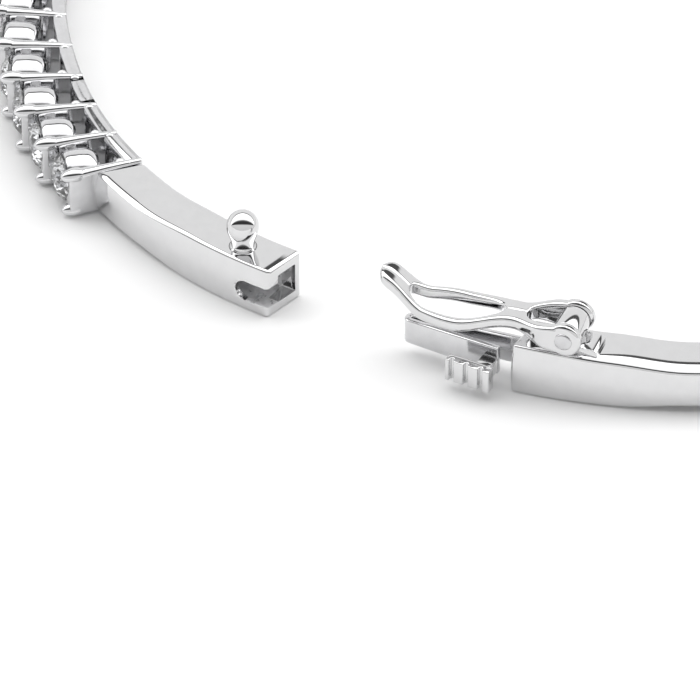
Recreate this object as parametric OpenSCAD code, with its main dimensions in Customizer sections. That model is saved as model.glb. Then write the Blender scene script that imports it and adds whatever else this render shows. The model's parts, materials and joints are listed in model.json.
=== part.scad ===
// Hinged oval bangle with a stone gallery, a box clasp and a figure-of-eight safety.
// Frame: origin at the centre of the closed oval, on the plane that the bangle lies on.
// +Z is the bangle's axis. The clasp is at -X and the hinge at +X.
// The plain back half lies towards -Y and is fixed. The stone-set front half lies towards +Y.

/* [Bangle] */
// Inside length of the closed oval, clasp to hinge
inner_length = 58; // [57:0.5:60]
// Inside width of the closed oval
inner_width = 50; // [49:0.5:51]
// Inside radius of the tighter bend at the clasp and at the hinge
end_radius = 22; // [21.5:0.5:22.5]
// Thickness of the band, inside to outside
band_t = 2.25; // [2.2:0.05:2.3]
// Height of the plain band away from the clasp
band_h = 2.0; // [1.9:0.05:2.1]
// Height of both ends at the clasp
clasp_h = 2.5; // [2.5:0.05:2.6]
// How far the front half stands open at rest, in degrees
rest_open = 11; // [11:1:40]

/* [Stones] */
// Number of stones along the front
stone_count = 27; // [27:1:27]
// Diameter of a stone at its girdle
stone_d = 2.2; // [2.1:0.05:2.2]
// Height of the stone gallery
gallery_h = 2.4; // [2.3:0.05:2.4]
// Length of the plain arm between the clasp and the first stone, along the inside
arm_length = 9.8; // [9.6:0.1:10]

/* [Box clasp] */
// Depth of the cavity in the box
cavity_depth = 5.6; // [5.5:0.1:5.8]
// Thickness of the spring strip of the tongue
leaf_t = 0.3; // [0.28:0.01:0.3]
// Angle between the two leaves of the tongue when relaxed, in degrees
leaf_angle = 8; // [7.5:0.5:8]
// Distance from the clasp plane to the fold axis of the tongue
fold_reach = 4.95; // [4.9:0.05:4.95]

/* [Safety catch] */
// Radius of the pin of the safety lever
safety_pin_r = 0.42; // [0.38:0.01:0.42]
// Distance from the clasp plane to the pin of the safety lever
safety_back = 2.4; // [2.3:0.05:2.5]

/* [Main hinge] */
// Radius of the hinge pin
hinge_pin_r = 0.4; // [0.35:0.05:0.45]
// Radius of the hinge barrel
barrel_r = 1.15; // [1.1:0.05:1.15]

/* [Hidden] */
$fn = 72;

// Oval of four tangent arcs: two end arcs and two flatter side arcs
a = inner_length / 2;
b = inner_width / 2;
side_radius = (a * a + b * b - 2 * a * end_radius) / (2 * (b - end_radius));
end_centre = a - end_radius;
side_centre = side_radius - b;
join = atan2(side_centre, end_centre);
mid_t = band_t / 2;
deg = 180 / PI;

// Heights
mid_z = clasp_h / 2;
band_z0 = mid_z - band_h / 2;
gallery_z0 = mid_z - gallery_h / 2;
arm_h = 2.15;
face_gap = 0.05;
face_skew = 10;
block_length = 4.1;
taper_length = 3.2;

// Gallery, measured outwards from the inside of the band along the slanting bars
gallery_skew = 15;
rail_w = 0.6;
rail_inset = 0.03;
bar_t = 0.4;
bar_w0 = 0.2;
bar_w = 3.45;
crown_w0 = 1.9;
crown_w1 = 2.4;
crown_h = 0.32;
collet_r = 1.15;
collet_w1 = 3.0;
collet_bore = 0.8;
claw_r = 0.32;
claw_inset = 0.42;
azure_r = 0.6;
seat_w = 2.6;
girdle_w = 3.1;
girdle_t = 0.04;
crown_rise = 0.36;
table_ratio = 0.56;
pavilion = 0.95;

// Box clasp
wall_in = 0.4;
wall_out = 0.3;
wall_z = 0.5;
lip_t = 0.4;
lip_w = 1.52;
slot_h = 1.05;
slot_z = 1.075;
slot_depth = 1.75;
base_w = 0.62;
root_length = 1.25;
fold_w = 0.97;
fold_r = leaf_t + 0.05;
tongue_root_h = 1.4;
tongue_tip_h = 1.25;
leaf_length = 4.4;
neck_start = 3.7;
neck_h = 0.76;
pad_gap = 1.2;
pad_t = 0.5;
pad_start = 2.5;
pad_length = 2.15;
pad_h = 1.15;
groove_w = 0.24;
groove_depth = 0.25;
groove_pitch = 0.7;
groove_first = 0.3;

// Stud on the box
stud_back = 2.05;
neck_r = 0.51;
bulb_r = 0.73;
bulb_z = 1.12;
stud_h = 1.88;

// Safety lever
safety_z = clasp_h + 0.83;
ear_r = 0.8;
ear_t = 0.44;
lug_r = 0.68;
foot_back = 1.4;
foot_h = 0.32;
lug_half = 0.63;
rail_t = 0.55;
run = 0.02;

// Main hinge
hinge_x = a + mid_t;
hinge_face = 1.3;
leaf_half = 0.9;
barrel_z0 = 0.12;
barrel_z1 = clasp_h - 0.12;
knuckle_gap = 0.05;
middle_z0 = 0.85;
middle_z1 = 1.65;
head_r = 0.62;
head_t = 0.1;

function stone_name(i) = str("stone_", i < 10 ? "0" : "", i);
function smooth(from, to, t) = from + (to - from) * (1 - cos(180 * min(max(t, 0), 1))) / 2;

// Station on the oval by turn angle: 0 at the clasp, 180 at the hinge
function arc_x(turn) = turn < join ? -end_centre : turn > 180 - join ? end_centre : 0;
function arc_y(turn) = turn < join || turn > 180 - join ? 0 : -side_centre;
function arc_r(turn) = turn < join || turn > 180 - join ? end_radius : side_radius;
function end_turn(s) = s / end_radius * deg;

// Turn angle at a distance q from the first bar, measured along the stones
gallery_turn = end_turn(arm_length);
seat_end = (end_radius + seat_w) * (join - gallery_turn) / deg;
seat_side = (side_radius + seat_w) * (180 - 2 * join) / deg;
pitch = (2 * seat_end + seat_side) / stone_count;
function seat_turn(q) =
    q < seat_end ? gallery_turn + q / (end_radius + seat_w) * deg
    : q < seat_end + seat_side ? join + (q - seat_end) / (side_radius + seat_w) * deg
    : 180 - join + (q - seat_end - seat_side) / (end_radius + seat_w) * deg;
function bar_turn(i) = seat_turn(i * pitch);
function stone_turn(i) = seat_turn((i - 0.5) * pitch);

// Puts its children on the front half's oval: local +X outwards, +Y towards the clasp
module station(turn) {
    translate([arc_x(turn), arc_y(turn), 0])
        rotate([0, 0, 180 - turn])
            translate([arc_r(turn), 0, 0]) children();
}

// The same frame, turned with the slanting bars: their outer ends lie further from the clasp
module setting(turn) {
    station(turn) rotate([0, 0, -gallery_skew]) children();
}

// One arc of the front half, between two turn angles that share a centre
module arc_piece(turn0, turn1, w0, w1, z0, z1) {
    centre_turn = (turn0 + turn1) / 2;
    radius = arc_r(centre_turn);
    translate([arc_x(centre_turn), arc_y(centre_turn), 0])
        rotate([0, 0, 180 - turn1])
            rotate_extrude(angle = turn1 - turn0)
                translate([radius + w0, z0]) square([w1 - w0, z1 - z0]);
}

// A bar of constant section along the front half's oval
module oval_bar(turn0, turn1, w0, w1, z0, z1) {
    if (turn0 < join) arc_piece(turn0, min(turn1, join), w0, w1, z0, z1);
    if (turn0 < 180 - join && turn1 > join)
        arc_piece(max(turn0, join), min(turn1, 180 - join), w0, w1, z0, z1);
    if (turn1 > 180 - join) arc_piece(max(turn0, 180 - join), turn1, w0, w1, z0, z1);
}

// The front half as it stands at rest, turned open about the hinge
module open_front() {
    translate([hinge_x, 0, 0]) rotate([0, 0, -rest_open]) translate([-hinge_x, 0, 0]) children();
}

// Side outline at the clasp end, extruded across the band: full height up to flat_end, then lower
module clasp_side(flat_end, far_h) {
    steps = 8;
    far = 60;
    upper = [for (i = [0:steps])
        [flat_end + taper_length * i / steps, mid_z + smooth(clasp_h, far_h, i / steps) / 2]];
    outline = concat([[-1, clasp_h]], upper, [[far, mid_z + far_h / 2]]);
    lower = [for (i = [len(outline) - 1:-1:0]) [outline[i][0], clasp_h - outline[i][1]]];
    translate([-a - 20, 0, 0]) rotate([90, 0, 90])
        linear_extrude(height = 2 * a + 40) polygon(concat(outline, lower));
}

// What lies beyond the slanting joint at the clasp: side 1 is cut from the box, side -1 from the band
module beyond_joint(side) {
    translate([-a - band_t, side * face_gap, -1]) rotate([0, 0, -face_skew])
        translate([-5, side > 0 ? -10 : 0, 0]) cube([15, 10, clasp_h + 2]);
}

module back_band() {
    color("silver") mirror([0, 1, 0]) difference() {
        intersection() {
            oval_bar(0, 180, 0, band_t, 0, clasp_h);
            clasp_side(block_length, band_h);
        }
        mirror([0, 1, 0]) beyond_joint(-1);
        translate([a - 5, -1, -1]) cube([10, 1 + hinge_face, clasp_h + 2]);
        translate([-a - base_w - leaf_t, 0, mid_z - tongue_root_h / 2])
            cube([leaf_t, root_length, tongue_root_h]);
    }
}

// Side outline of the tongue: tall at the root, lower at the fold
module tongue_side(from, to, h_from, h_to, depth) {
    rotate([90, 0, 90]) linear_extrude(height = depth)
        polygon([[from, mid_z - h_from / 2], [to, mid_z - h_to / 2],
                 [to, mid_z + h_to / 2], [from, mid_z + h_from / 2]]);
}

module tongue_base() {
    tip = fold_reach + fold_r;
    color("silver") {
        intersection() {
            translate([-a - base_w - leaf_t, -root_length, 0])
                cube([leaf_t, root_length + fold_reach, clasp_h]);
            union() {
                translate([-a - 2, 0, 0]) tongue_side(-root_length, 0, tongue_root_h, tongue_root_h, 2);
                translate([-a - 2, 0, 0]) tongue_side(0, tip, tongue_root_h, tongue_tip_h, 2);
            }
        }
        translate([-a - fold_w, fold_reach, mid_z - tongue_tip_h / 2])
            cylinder(r = fold_r, h = tongue_tip_h);
    }
}

// Frame of the spring leaf: origin on the fold axis, +X outwards, +Y towards the free end
module leaf_frame() {
    translate([-a - fold_w, fold_reach, 0]) rotate([0, 0, 180 - leaf_angle]) children();
}

module tongue_spring_leaf() {
    color("gainsboro") leaf_frame() difference() {
        intersection() {
            translate([fold_r - leaf_t, 0, 0]) cube([leaf_t, leaf_length, clasp_h]);
            tongue_side(0, leaf_length, tongue_tip_h, tongue_root_h, 1);
        }
        translate([0, 0, -1]) cylinder(r = fold_r + 0.01, h = clasp_h + 2);
    }
}

module thumb_pad() {
    color("silver") leaf_frame() difference() {
        union() {
            translate([fold_r, neck_start, slot_z - neck_h / 2])
                cube([pad_gap - fold_r, leaf_length - neck_start, neck_h]);
            translate([pad_gap, pad_start, slot_z - pad_h / 2]) cube([pad_t, pad_length, pad_h]);
        }
        for (i = [0:2])
            translate([pad_gap + pad_t - groove_depth, pad_start + groove_first + i * groove_pitch, 0])
                translate([0, -groove_w / 2, 0]) cube([groove_depth + 1, groove_w, clasp_h]);
    }
}

// Middle of the band at the safety pin and at the stud
function middle_x(s) = -end_centre - (end_radius + mid_t) * cos(end_turn(s));

module safety_frame() {
    translate([middle_x(safety_back), -safety_back, safety_z]) children();
}

// Knuckle between the ears, on a low foot that runs back along the band
module safety_lug() {
    drop = safety_z - clasp_h;
    color("gray") safety_frame() difference() {
        rotate([90, 0, 90]) linear_extrude(height = 2 * lug_half, center = true) {
            circle(r = lug_r);
            translate([-lug_r, -drop]) square([2 * lug_r, drop]);
            translate([-foot_back, -drop]) square([foot_back, foot_h]);
        }
        rotate([0, 90, 0]) cylinder(r = safety_pin_r + 2 * run, h = 4, center = true);
    }
}

module safety_pin() {
    color("white") safety_frame()
        rotate([0, 90, 0]) cylinder(r = safety_pin_r, h = band_t, center = true);
}

// Outline of the lever, by distance from its pin
waist = safety_back + 0.05;
loop_mid = safety_back + 2.8;
loop_end = safety_back + 5.1;
tip_mid = safety_back + 5.75;
tip_r = 0.66;
waist_half = 0.7;
loop_half = 1.2;
hole_half = 0.82;
hole_skew = 1.05;
hole_start = safety_back + 0.6;
slit_end = safety_back - 0.4;
slit_half = band_t / 2 - ear_t;
function lever_half(y) =
    y < ear_r ? band_t / 2
    : y < waist ? smooth(band_t / 2, waist_half, (y - ear_r) / (waist - ear_r))
    : y < loop_mid ? smooth(waist_half, loop_half, (y - waist) / (loop_mid - waist))
    : smooth(loop_half, tip_r, (y - loop_mid) / (tip_mid - loop_mid));
function loop_hole(y) =
    hole_half * sqrt(sin(180 * pow((y - hole_start) / (loop_end - hole_start), hole_skew)));
// Top of the lever above its pin: falling to the loop, which rests round the stud, then the raised finger tip
function lever_top(y) =
    y < waist ? smooth(0.6, 0.25, y / waist)
    : y < loop_mid ? smooth(0.25, -0.22, (y - waist) / (loop_mid - waist))
    : smooth(-0.22, 0.95, (y - loop_mid - 1.4) / 2.1);
function lever_bottom(y) = lever_top(y) - smooth(1.3, rail_t, (y - 0.3) / (waist - 0.3));

// The same outline on the other side of the middle, run backwards
function other_side(line) = [for (i = [len(line) - 1:-1:0]) [-line[i][0], line[i][1]]];

module lever_plan() {
    steps = 36;
    tip_steps = 12;
    hole_steps = 24;
    right = [for (i = [0:steps]) let (y = tip_mid * i / steps) [lever_half(y), y]];
    tip = [for (i = [1:tip_steps - 1]) let (t = 180 * i / tip_steps)
        [tip_r * cos(t), tip_mid + tip_r * sin(t)]];
    hole = [for (i = [1:hole_steps - 1])
        let (y = smooth(hole_start, loop_end, i / hole_steps)) [loop_hole(y), y]];
    slit = [for (i = [0:tip_steps])
        let (t = 90 * i / tip_steps) [slit_half * cos(t), lug_r + (slit_end - lug_r) * sin(t)]];
    difference() {
        polygon(concat(right, tip, other_side(right)));
        polygon(concat([[0, hole_start]], hole, [[0, loop_end]], other_side(hole)));
        polygon(concat([[-slit_half, -1], [slit_half, -1]], slit, other_side(slit)));
    }
}

module lever_profile() {
    steps = 40;
    far = tip_mid + tip_r + 0.1;
    reach = [for (i = [0:steps]) far * i / steps];
    polygon(concat([for (y = reach) [y, lever_top(y)]],
                   [for (i = [steps:-1:0]) [reach[i], lever_bottom(reach[i])]]));
}

module safety_lever() {
    color("silver") safety_frame() difference() {
        union() {
            intersection() {
                translate([0, 0, -2]) linear_extrude(height = 5) lever_plan();
                translate([-2, 0, 0]) rotate([90, 0, 90]) linear_extrude(height = 4) lever_profile();
            }
            for (side = [-1, 1])
                translate([side * (band_t / 2 - ear_t / 2), 0, 0])
                    rotate([0, 90, 0]) cylinder(r = ear_r, h = ear_t, center = true);
        }
        rotate([0, 90, 0]) cylinder(r = safety_pin_r + 0.01, h = 4, center = true);
    }
}

// Plan of the space inside the box: full width behind the lip, narrower at the mouth
module cavity_plan() {
    intersection() {
        translate([-end_centre, 0]) difference() {
            circle(r = end_radius + band_t - wall_out);
            circle(r = end_radius + wall_in);
        }
        difference() {
            translate([-a - 5, -1]) square([10, 1 + cavity_depth]);
            translate([-a - 6, -2]) square([6 - lip_w, 2 + face_gap + lip_t]);
        }
    }
}

module box_slot() {
    straight = slot_depth - slot_h / 2;
    rotate([90, 0, 90]) linear_extrude(height = band_t + 1 - lip_w + 0.1) {
        translate([-1, -slot_h / 2]) square([1 + straight, slot_h]);
        translate([straight, 0]) circle(d = slot_h);
    }
}

module box_arm() {
    color("silver") open_front() difference() {
        intersection() {
            oval_bar(-3, gallery_turn + 3, 0, band_t, 0, clasp_h);
            clasp_side(block_length, arm_h);
        }
        beyond_joint(1);
        translate([0, 0, wall_z]) linear_extrude(height = clasp_h - 2 * wall_z) cavity_plan();
        translate([-a - band_t - 1, 0, slot_z]) box_slot();
        setting(bar_turn(0)) translate([-1, -3, -1]) cube([band_t + 2, 3 + bar_t / 2, clasp_h + 2]);
    }
}

// Egg-shaped stud on a narrower neck
module box_stud() {
    steps = 14;
    foot = 0.12;
    outline = [for (i = [0:steps]) let (t = i / steps)
        [smooth(neck_r, bulb_r, t), foot + (bulb_z - foot) * t]];
    cap = [for (i = [1:steps - 1]) let (t = 90 * i / steps)
        [bulb_r * cos(t), bulb_z + (stud_h - bulb_z) * sin(t)]];
    color("silver") open_front() translate([middle_x(stud_back), stud_back, clasp_h])
        rotate_extrude() polygon(concat([[0, 0], [neck_r, 0]], outline, cap, [[0, stud_h]]));
}

// Revolved brilliant: table, crown, girdle and pavilion, axis along local X
module stone_body(extra = 0) {
    r = stone_d / 2;
    translate([girdle_w, 0, mid_z]) rotate([0, 90, 0]) rotate_extrude()
        polygon([[0, -pavilion], [r, 0], [r, girdle_t + extra],
                 [r * table_ratio, girdle_t + crown_rise + extra], [0, girdle_t + crown_rise + extra]]);
}

module stone(i) {
    color("lightblue") open_front() setting(stone_turn(i)) stone_body();
}

// Bar between two stones, with a rounded claw at each end of its outer edge
module gallery_bar(i) {
    setting(bar_turn(i)) {
        translate([bar_w0, -bar_t / 2, gallery_z0]) cube([bar_w - bar_w0, bar_t, gallery_h]);
        for (z = [claw_inset, gallery_h - claw_inset])
            translate([bar_w, 0, gallery_z0 + z]) sphere(r = claw_r, $fn = 32);
    }
}

// Ring that a stone's pavilion sits in
module collet(i) {
    setting(stone_turn(i)) difference() {
        translate([crown_w0 - 0.05, 0, mid_z])
            rotate([0, 90, 0]) cylinder(r = collet_r, h = collet_w1 - crown_w0 + 0.05);
        translate([crown_w0 - 1, 0, mid_z]) rotate([0, 90, 0]) cylinder(r = collet_bore, h = 4);
        stone_body(0.3);
    }
}

module front_gallery() {
    z0 = gallery_z0 + rail_inset;
    z1 = gallery_z0 + gallery_h - rail_inset;
    last = bar_turn(stone_count);
    crown_mid = (crown_w0 + crown_w1) / 2;
    crown_shift = crown_mid * tan(gallery_skew) / (end_radius + crown_mid) * deg;
    color("silver") open_front() {
        difference() {
            oval_bar(gallery_turn, last, 0, rail_w, z0, z1);
            for (i = [1:stone_count]) setting(stone_turn(i))
                translate([0, 0, mid_z]) rotate([0, 90, 0]) cylinder(r = azure_r, h = 2, center = true);
        }
        for (z = [z0, z1 - crown_h])
            oval_bar(gallery_turn + crown_shift, last + crown_shift, crown_w0, crown_w1, z, z + crown_h);
        for (i = [0:stone_count]) gallery_bar(i);
        for (i = [1:stone_count]) collet(i);
    }
}

module hinge_arm() {
    color("silver") open_front() difference() {
        oval_bar(180 - gallery_turn - 1, 180, 0, band_t, band_z0, band_z0 + band_h);
        setting(bar_turn(stone_count))
            translate([-1, -bar_t / 2, -1]) cube([band_t + 2, 3, clasp_h + 2]);
        translate([a - 5, -1, -1]) cube([10, 1 + hinge_face, clasp_h + 2]);
    }
}

// Knuckle with the plate that joins it to the arm on the -Y side
module knuckle(z0, z1) {
    translate([hinge_x, 0, z0]) difference() {
        union() {
            cylinder(r = barrel_r, h = z1 - z0);
            translate([-leaf_half, -hinge_face, 0]) cube([2 * leaf_half, hinge_face, z1 - z0]);
        }
        translate([0, 0, -1]) cylinder(r = hinge_pin_r + run, h = z1 - z0 + 2);
    }
}

module hinge_leaf_back() {
    color("gray") {
        knuckle(barrel_z0, middle_z0 - knuckle_gap);
        knuckle(middle_z1 + knuckle_gap, barrel_z1);
        translate([hinge_x - leaf_half, -hinge_face, band_z0])
            cube([2 * leaf_half, hinge_face - barrel_r - 0.05, band_h]);
    }
}

module hinge_leaf_front() {
    color("dimgray") open_front() mirror([0, 1, 0]) knuckle(middle_z0, middle_z1);
}

module hinge_pin() {
    color("white") translate([hinge_x, 0, barrel_z0]) {
        cylinder(r = hinge_pin_r, h = barrel_z1 - barrel_z0);
        translate([0, 0, -head_t]) cylinder(r = head_r, h = head_t);
        translate([0, 0, barrel_z1 - barrel_z0]) cylinder(r = head_r, h = head_t);
    }
}

back_band();
tongue_base();
safety_lug();
hinge_leaf_back();
hinge_pin();
tongue_spring_leaf();
thumb_pad();
safety_lever();
safety_pin();
box_arm();
box_stud();
front_gallery();
hinge_arm();
hinge_leaf_front();
for (i = [1:stone_count]) stone(i);
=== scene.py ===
"""Hinged oval bangle with a stone gallery, a box clasp and a figure-of-eight safety lever.

Shapes are worked out in millimetres in the closed bangle's frame, then scaled to metres.
The front half is turned open about the main hinge, as the CAD frame holds it at rest.
"""

import json
import math
from math import asin, atan2, cos, degrees, hypot, pi, radians, sin, sqrt

import bmesh
import bpy
from mathutils import Matrix, Vector


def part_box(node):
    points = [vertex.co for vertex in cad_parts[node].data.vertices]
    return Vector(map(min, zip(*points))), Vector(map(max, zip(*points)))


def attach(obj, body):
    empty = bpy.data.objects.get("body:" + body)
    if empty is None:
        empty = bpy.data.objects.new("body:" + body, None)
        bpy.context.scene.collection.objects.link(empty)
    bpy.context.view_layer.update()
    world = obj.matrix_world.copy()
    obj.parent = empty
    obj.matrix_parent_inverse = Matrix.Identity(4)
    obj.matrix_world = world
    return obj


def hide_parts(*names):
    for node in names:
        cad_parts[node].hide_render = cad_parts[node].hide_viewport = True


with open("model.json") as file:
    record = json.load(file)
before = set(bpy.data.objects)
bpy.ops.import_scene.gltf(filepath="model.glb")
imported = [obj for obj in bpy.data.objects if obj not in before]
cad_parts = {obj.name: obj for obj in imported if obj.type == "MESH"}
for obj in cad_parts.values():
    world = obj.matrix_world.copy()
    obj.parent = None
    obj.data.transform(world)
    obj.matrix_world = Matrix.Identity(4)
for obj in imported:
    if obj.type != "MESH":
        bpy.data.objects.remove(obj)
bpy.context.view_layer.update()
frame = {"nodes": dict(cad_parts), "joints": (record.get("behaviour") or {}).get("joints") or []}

MM = 0.001
JOINTS = {joint["name"]: joint for joint in frame["joints"]}


def joint_point(name):
    """Where a joint's axis passes, in millimetres."""
    return Vector(JOINTS[name]["pos_m"]) / MM


def box_mm(node):
    """A CAD node's lowest and highest corners, in millimetres."""
    low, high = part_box(node)
    return low / MM, high / MM


# ---------------------------------------------------------------- sizes, in millimetres
HINGE = joint_point("bangle_hinge")
FOLD = joint_point("tongue_press")
SAFETY = joint_point("safety_swing")
REST_OPEN = -JOINTS["bangle_hinge"]["range_deg"][0]

BAND_T = 2.25
HALF_LENGTH = HINGE.x - BAND_T / 2
HALF_WIDTH = 25.0
END_RADIUS = 22.0
SIDE_RADIUS = (
    (HALF_LENGTH**2 + HALF_WIDTH**2 - 2 * HALF_LENGTH * END_RADIUS)
    / (2 * (HALF_WIDTH - END_RADIUS)))
END_CENTRE = HALF_LENGTH - END_RADIUS
SIDE_CENTRE = SIDE_RADIUS - HALF_WIDTH
JOIN = atan2(SIDE_CENTRE, END_CENTRE)

CLASP_H = box_mm("back_band")[1].z
BAND_H = 2.0
ARM_H = 2.15
MID_Z = CLASP_H / 2
FACE_GAP = 0.05
FACE_SKEW = radians(10)
SKEW_REACH = 3.0
BLOCK_LENGTH = 4.1
TAPER_LENGTH = 3.2
HINGE_FACE = 1.3
CROWN_LEAN = radians(15)

GALLERY_Z0, GALLERY_Z1 = box_mm("front_gallery")[0].z, box_mm("front_gallery")[1].z
STONE_COUNT = sum(node.startswith("stone_") for node in frame["nodes"])
ARM_LENGTH = 9.8
SEAT_W = 2.6
GALLERY_SKEW = radians(15)
BAR_T = 0.4
BAR_W = 3.45
RAIL_W = 0.6
CROWN_W0, CROWN_W1, CROWN_H = 1.9, 2.4, 0.32
AZURE_R = 0.6
BAR_SHAPE = (
    (-0.02, 0.12), (0.03, 0.18), (0.6, 0.19), (1.4, 0.22), (2.1, 0.27), (2.7, 0.32),
    (BAR_W - 0.05, 0.32), (BAR_W, 0.26))
CLAW_HEIGHTS = (GALLERY_Z0 + 0.28, GALLERY_Z1 - 0.24)
CLAW_SIZE = (0.64, 0.37, 0.33)
BEAD_HEIGHTS = (GALLERY_Z0 + 0.14, GALLERY_Z1 - 0.14)
BEAD_SIZE = (0.24, 0.2, 0.18)
COLLET_R, COLLET_W1, COLLET_BORE = 1.15, 3.0, 0.8
DOME_W0 = 1.4
COLLET_RING = (
    (COLLET_R - 0.3, DOME_W0), (COLLET_R - 0.1, DOME_W0 + 0.2), (COLLET_R - 0.02, DOME_W0 + 0.45),
    (COLLET_R, DOME_W0 + 0.8), (COLLET_R - 0.01, COLLET_W1 - 0.25), (COLLET_R - 0.06, COLLET_W1 - 0.08),
    (COLLET_R - 0.16, COLLET_W1), (COLLET_BORE, COLLET_W1 - 0.2), (COLLET_BORE, DOME_W0 + 0.05))
CROWN_DROP = 0.36
GIRDLE_W = 3.1
STONE_R = 1.1
PAVILION = 0.95
CROWN_RISE = 0.36
TABLE_R = 0.62

CAVITY_DEPTH = 5.6
WALL_IN, WALL_OUT, WALL_Z = 0.4, 0.3, 0.5
LIP_T, LIP_W = 0.4, 1.52
SLOT_H, SLOT_Z, SLOT_DEPTH = 1.05, 1.075, 1.75

LEAF_T = 0.3
LEAF_ANGLE = radians(8)
LEAF_LENGTH = 4.4
TONGUE_ROOT_H, TONGUE_TIP_H = 1.4, 1.25
NECK_START, NECK_H = 3.7, 0.76
PAD_GAP, PAD_T, PAD_START, PAD_LENGTH, PAD_H = 1.2, 0.5, 2.5, 2.15, 1.15
GROOVE_W, GROOVE_DEPTH, GROOVE_PITCH, GROOVE_FIRST = 0.24, 0.25, 0.7, 0.3

STUD_BACK = 2.05
NECK_R, BULB_R, BULB_Z, STUD_H = 0.51, 0.73, 1.12, 1.88

EAR_R, EAR_T = 0.8, 0.44
LUG_R, LUG_HALF = 0.68, 0.63
FOOT_BACK, FOOT_H = 1.4, 0.32
SAFETY_PIN_R = 0.42
RAIL_T = 0.55

BARREL_R = 1.15
HINGE_PIN_R = 0.4
LEAF_HALF = 0.9
BARREL_Z0, BARREL_Z1 = box_mm("hinge_leaf_back")[0].z, box_mm("hinge_leaf_back")[1].z
MIDDLE_Z0, MIDDLE_Z1 = box_mm("hinge_leaf_front")[0].z, box_mm("hinge_leaf_front")[1].z
KNUCKLE_GAP = 0.05

OPEN_FRONT = (
    Matrix.Translation(HINGE) @ Matrix.Rotation(-radians(REST_OPEN), 4, "Z")
    @ Matrix.Translation(-HINGE))
# Lays a prism on its side: its outline's x and y become y and z, and its length runs along x.
ON_ITS_SIDE = Matrix(((0, 0, 1, 0), (1, 0, 0, 0), (0, 1, 0, 0), (0, 0, 0, 1)))


def smooth(start, end, t):
    """Eased step from start to end as t goes from 0 to 1."""
    return start + (end - start) * (1 - cos(pi * min(max(t, 0.0), 1.0))) / 2


# ---------------------------------------------------------------- the oval
def station(turn):
    """Inside point of the front half and its outward direction, by turn: 0 at the clasp, pi at the hinge."""
    out = Vector((-cos(turn), sin(turn), 0))
    if turn < JOIN:
        return Vector((-END_CENTRE, 0, 0)) + END_RADIUS * out, out
    if turn > pi - JOIN:
        return Vector((END_CENTRE, 0, 0)) + END_RADIUS * out, out
    return Vector((0, -SIDE_CENTRE, 0)) + SIDE_RADIUS * out, out


END_ARC = END_RADIUS * JOIN
SIDE_ARC = SIDE_RADIUS * (pi - 2 * JOIN)
HALF_ARC = 2 * END_ARC + SIDE_ARC


def turn_at(s):
    """Turn angle at a distance s from the clasp, along the inside."""
    if s < END_ARC:
        return s / END_RADIUS
    if s < END_ARC + SIDE_ARC:
        return JOIN + (s - END_ARC) / SIDE_RADIUS
    return pi - JOIN + (s - END_ARC - SIDE_ARC) / END_RADIUS


def front_path(s):
    return station(turn_at(s))


def back_path(s):
    point, out = front_path(s)
    return Vector((point.x, -point.y, 0)), Vector((out.x, -out.y, 0))


SEAT_TURN = ARM_LENGTH / END_RADIUS
SEAT_END = (END_RADIUS + SEAT_W) * (JOIN - SEAT_TURN)
SEAT_SIDE = (SIDE_RADIUS + SEAT_W) * (pi - 2 * JOIN)
PITCH = (2 * SEAT_END + SEAT_SIDE) / STONE_COUNT


def seat_turn(q):
    """Turn angle at a distance q from the first bar, measured along the stones."""
    if q < SEAT_END:
        return SEAT_TURN + q / (END_RADIUS + SEAT_W)
    if q < SEAT_END + SEAT_SIDE:
        return JOIN + (q - SEAT_END) / (SIDE_RADIUS + SEAT_W)
    return pi - JOIN + (q - SEAT_END - SEAT_SIDE) / (END_RADIUS + SEAT_W)


def setting_place(turn, z=0.0):
    """Local +X outwards, +Y towards the clasp, +Z up, origin on the inside of the front half."""
    point, out = station(turn)
    across = Vector((-out.y, out.x, 0))
    place = Matrix((out, across, Vector((0, 0, 1)))).transposed().to_4x4()
    place.translation = point + Vector((0, 0, z))
    return place


def bar_place(turn, z=0.0):
    """The same, turned with the slanting bars: their outer ends lie further from the clasp."""
    return setting_place(turn, z) @ Matrix.Rotation(-GALLERY_SKEW, 4, "Z")


def axis_place(turn, w=0.0):
    """Local +Z outwards along the bars, on the middle of the gallery."""
    return bar_place(turn, MID_Z) @ Matrix.Translation((w, 0, 0)) @ Matrix.Rotation(pi / 2, 4, "Y")


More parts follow.
